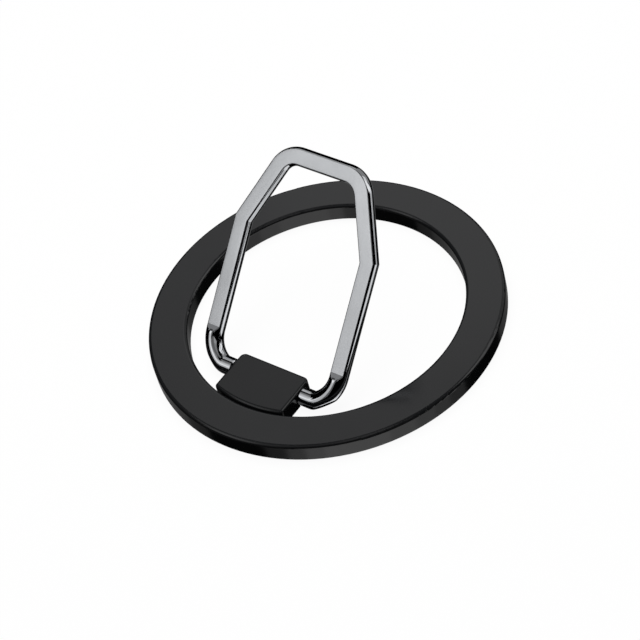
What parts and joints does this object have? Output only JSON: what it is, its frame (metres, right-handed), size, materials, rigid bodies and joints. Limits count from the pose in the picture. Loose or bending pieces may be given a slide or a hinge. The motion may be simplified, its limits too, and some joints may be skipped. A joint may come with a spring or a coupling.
{
  "type": "phone ring holder",
  "caption": "Flat magnetic ring for the back of a phone, with a hinged finger loop that folds flat into the ring's hole and stays where it is put.",
  "frame": {"origin": "centre of the ring, on the grip pad's face that lies against the phone", "axes": "+X along the hinge, +Y from the hinge across the ring, +Z away from the phone; the loop is drawn opened by 46.2 degrees, as in the picture"},
  "size_m": [0.058, 0.058, 0.0287],
  "materials": {
    "ring_paint": "satin black",
    "hinge_paint": "satin black",
    "loop_metal": "polished, dark nickel tone",
    "magnet_nickel": "barrel plated nickel",
    "shunt_steel": "rolled strip",
    "spring_steel": "rolled strip",
    "screw_steel": "blackened",
    "bush_plastic": "moulded",
    "pad_rubber": "fine grain, matt",
    "adhesive_film": "film"
  },
  "bodies": {
    "base": {"ring_housing": "ring_paint", "shunt_ring": "shunt_steel", "adhesive_ring": "adhesive_film", "grip_pad": "pad_rubber", "hinge_block": "hinge_paint", "hinge_cap": "hinge_paint", "hinge_screws": "screw_steel", "magnet_01": "magnet_nickel", "magnet_02": "magnet_nickel", "magnet_03": "magnet_nickel", "magnet_04": "magnet_nickel", "magnet_05": "magnet_nickel", "magnet_06": "magnet_nickel", "magnet_07": "magnet_nickel", "magnet_08": "magnet_nickel", "magnet_09": "magnet_nickel", "magnet_10": "magnet_nickel", "magnet_11": "magnet_nickel", "magnet_12": "magnet_nickel", "magnet_13": "magnet_nickel", "magnet_14": "magnet_nickel", "magnet_15": "magnet_nickel", "magnet_16": "magnet_nickel", "bush_left_upper": "bush_plastic", "bush_left_lower": "bush_plastic", "bush_right_upper": "bush_plastic", "bush_right_lower": "bush_plastic", "friction_clip_1": "spring_steel", "friction_clip_2": "spring_steel", "friction_clip_3": "spring_steel", "friction_clip_4": "spring_steel"},
    "loop": {"finger_loop": "loop_metal"}
  },
  "joints": [
    {"name": "loop_hinge", "type": "hinge", "parent": "base", "child": "loop", "pos_m": [0, -0.0161, 0.0017], "axis": [1, 0, 0], "range_deg": [-46.2, 78]}
  ]
}
